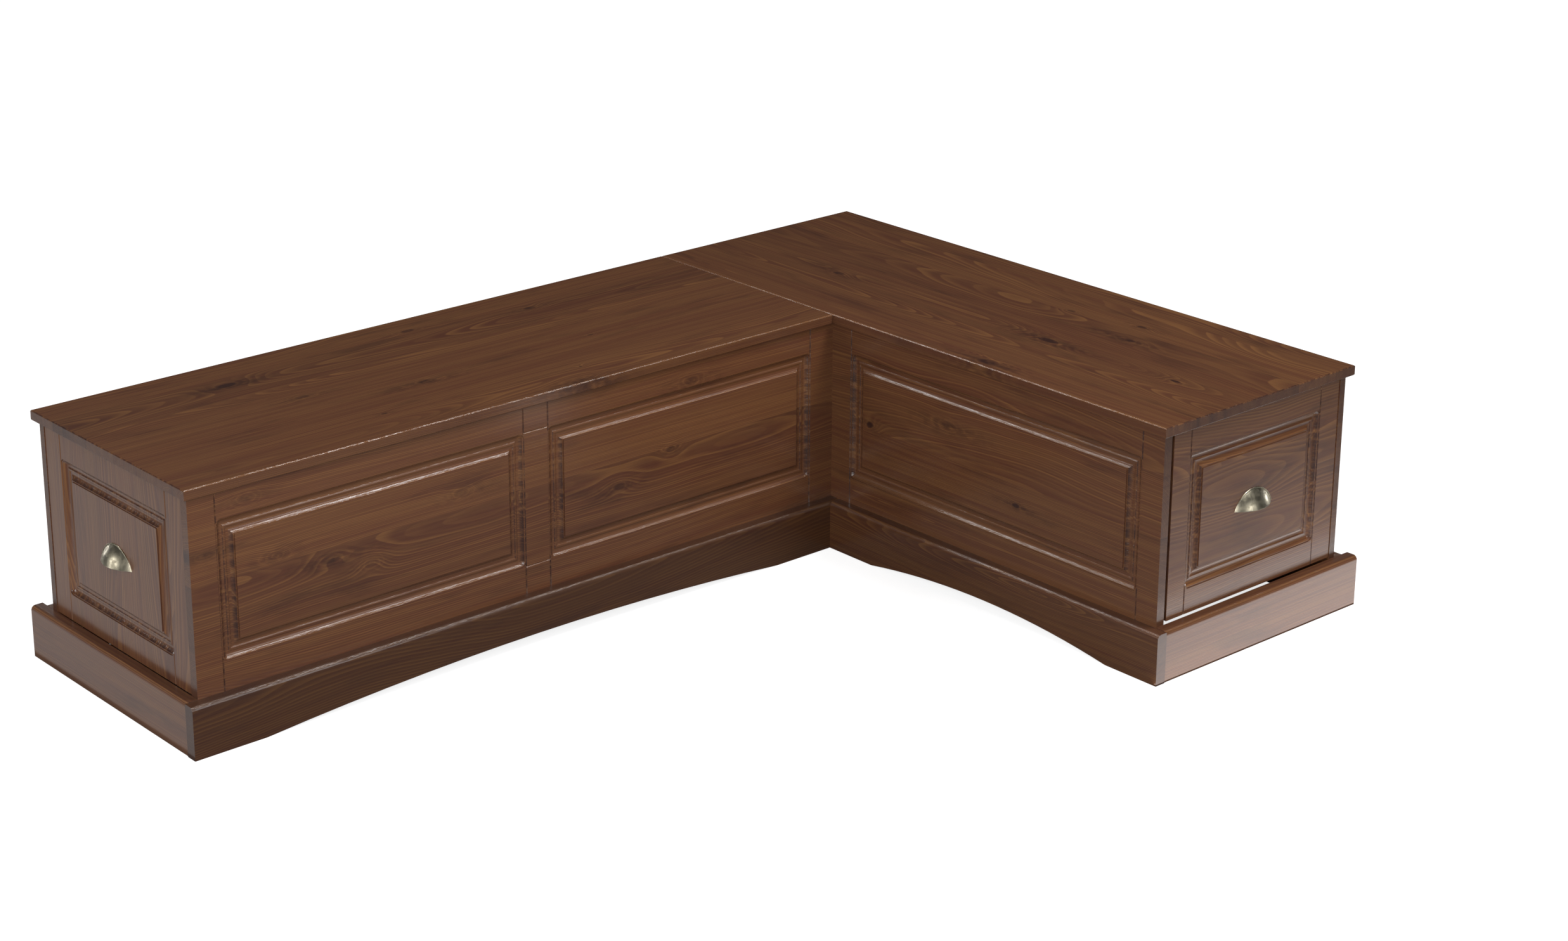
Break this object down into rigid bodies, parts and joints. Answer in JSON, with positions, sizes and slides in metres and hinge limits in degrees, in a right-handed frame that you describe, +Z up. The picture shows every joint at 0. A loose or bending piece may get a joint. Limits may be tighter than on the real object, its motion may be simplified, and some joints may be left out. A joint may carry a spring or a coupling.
{
  "type": "corner storage bench",
  "caption": "L-shaped wooden corner storage bench of two chests with routed panel fronts, arched plinths and a drawer with a cup pull in each outer end.",
  "frame": {"origin": "on the floor, under the middle of the overall box", "axes": "+X along the long chest from its drawer end to the room corner, +Y from the seat towards the back wall, +Z up"},
  "size_m": [1.8896, 1.3294, 0.45],
  "materials": {
    "stained_pine": "dark colonial stain under glossy lacquer",
    "plain_pine": "planed, unstained",
    "plywood": "sanded plywood",
    "aged_brass": "antique, softly polished",
    "zinc_steel": "zinc plated"
  },
  "bodies": {
    "frame": {"long_seat_board": "stained_pine", "long_front_panel": "stained_pine", "long_back_panel": "stained_pine", "long_end_panel": "plain_pine", "long_front_plinth": "stained_pine", "long_end_plinth": "stained_pine", "long_rear_plinth": "stained_pine", "long_front_batten": "plain_pine", "long_back_batten": "plain_pine", "long_seat_rails": "plain_pine", "long_tie_rails": "plain_pine", "long_corner_blocks": "plain_pine", "long_front_runner": "plain_pine", "long_back_runner": "plain_pine", "long_drawer_stops": "plain_pine", "long_drawer_halt": "plain_pine", "long_seat_screws": "zinc_steel", "short_seat_board": "stained_pine", "short_front_panel": "stained_pine", "short_back_panel": "stained_pine", "short_end_panel": "plain_pine", "short_front_plinth": "stained_pine", "short_end_plinth": "stained_pine", "short_rear_plinth": "stained_pine", "short_front_batten": "plain_pine", "short_back_batten": "plain_pine", "short_seat_rails": "plain_pine", "short_tie_rails": "plain_pine", "short_corner_blocks": "plain_pine", "short_front_runner": "plain_pine", "short_back_runner": "plain_pine", "short_drawer_stops": "plain_pine", "short_drawer_halt": "plain_pine", "short_seat_screws": "zinc_steel", "short_far_plinth": "stained_pine", "chest_bolts": "zinc_steel", "chest_nuts": "zinc_steel"},
    "long_drawer": {"long_drawer_front": "stained_pine", "long_drawer_box_front": "plain_pine", "long_drawer_near_side": "plain_pine", "long_drawer_far_side": "plain_pine", "long_drawer_back": "plain_pine", "long_drawer_bottom": "plywood", "long_cup_pull": "aged_brass", "long_pull_screws": "zinc_steel", "long_drawer_front_screws": "zinc_steel"},
    "short_drawer": {"short_drawer_front": "stained_pine", "short_drawer_box_front": "plain_pine", "short_drawer_near_side": "plain_pine", "short_drawer_far_side": "plain_pine", "short_drawer_back": "plain_pine", "short_drawer_bottom": "plywood", "short_cup_pull": "aged_brass", "short_pull_screws": "zinc_steel", "short_drawer_front_screws": "zinc_steel"}
  },
  "joints": [
    {"name": "long_drawer_slide", "type": "slide", "parent": "frame", "child": "long_drawer", "axis": [-1, 0, 0], "range_m": [0, 0.4]},
    {"name": "short_drawer_slide", "type": "slide", "parent": "frame", "child": "short_drawer", "axis": [0, -1, 0], "range_m": [0, 0.4]}
  ]
}
